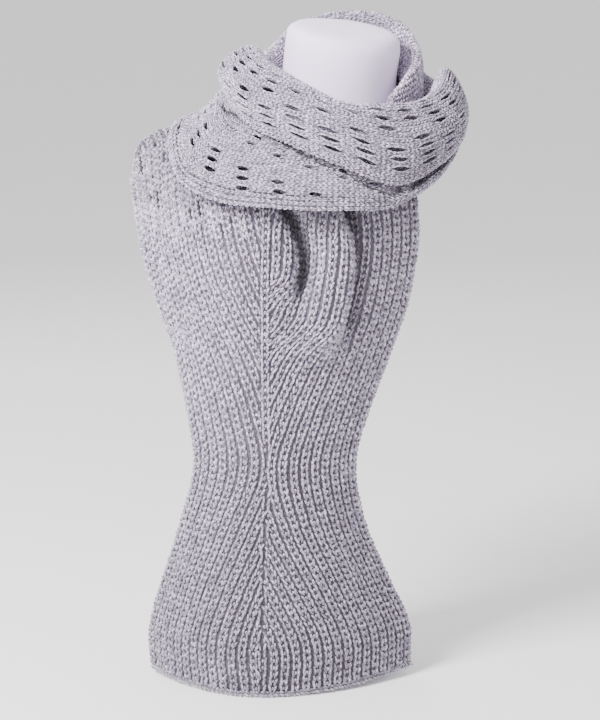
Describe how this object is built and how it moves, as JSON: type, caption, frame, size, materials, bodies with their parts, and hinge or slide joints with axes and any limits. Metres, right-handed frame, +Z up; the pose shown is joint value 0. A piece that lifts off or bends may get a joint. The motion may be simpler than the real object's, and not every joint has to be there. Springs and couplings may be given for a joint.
{
  "type": "knitted scarf on a display bust",
  "caption": "Heathered grey knitted scarf with lacy wraps wound round the neck of a slim white display bust, and a wide ribbed tail that hangs down its front.",
  "frame": {"origin": "centre of the bust's flat underside, on the surface that it stands on", "axes": "+Z up along the neck, -Y towards the front that the ribbed tail hangs down, +X to the viewer's right"},
  "size_m": [0.3305, 0.2834, 0.6525],
  "materials": {
    "grey_knit": "matte heathered wool knit, light grey with a faint lilac tint and darker flecks",
    "white_jersey": "fine smooth white jersey stretched over a rigid foam bust"
  },
  "bodies": {
    "root": {"display_bust": "white_jersey", "tail_front": "grey_knit", "under_wrap_back": "grey_knit", "lower_wrap_front": "grey_knit", "middle_wrap_back": "grey_knit", "upper_wrap_front": "grey_knit", "collar_wrap_back": "grey_knit", "tucked_end": "grey_knit"}
  },
  "joints": []
}
